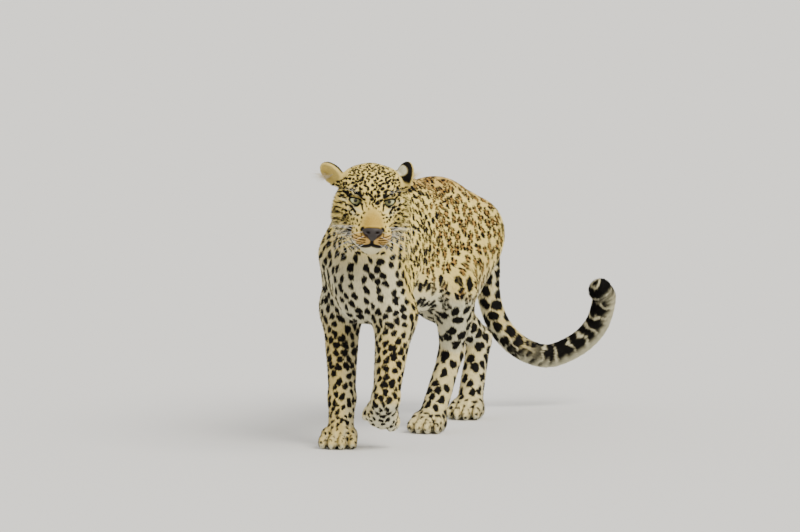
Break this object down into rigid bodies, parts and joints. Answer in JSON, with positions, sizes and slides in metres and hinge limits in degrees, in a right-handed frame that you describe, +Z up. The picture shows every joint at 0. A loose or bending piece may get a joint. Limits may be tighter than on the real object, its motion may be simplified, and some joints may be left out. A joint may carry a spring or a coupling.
{
  "type": "leopard",
  "caption": "Life-size spotted big cat in a slow walk, head turned to its left, one forepaw lifted and folded back, tail swept low and curled up at the tip.",
  "frame": {"origin": "on the floor, below the middle of the whole model's length and width", "axes": "+Z up; the animal walks towards -Y, and its left side is +X"},
  "size_m": [0.3772, 1.4362, 0.6867],
  "materials": {
    "coat": "short fur, golden tan with black rosettes",
    "paw_coat": "short pale fur with small dark spots",
    "tail_tip_coat": "fur in black blocks and pale lines",
    "eye": "wet, pale yellow-green iris round a dark pupil",
    "nose_leather": "dark brown-black, slightly moist"
  },
  "bodies": {
    "root": {"head": "coat", "ear_left": "coat", "ear_right": "coat", "neck": "coat", "torso": "coat", "left_foreleg": "coat", "right_foreleg": "coat", "left_hind_leg": "coat", "right_hind_leg": "coat", "tail_root": "coat", "tail_middle": "coat", "left_forepaw": "paw_coat", "right_forepaw": "paw_coat", "left_hind_paw": "paw_coat", "right_hind_paw": "paw_coat", "tail_tip": "tail_tip_coat", "eye_left": "eye", "eye_right": "eye", "nose": "nose_leather"}
  },
  "joints": []
}
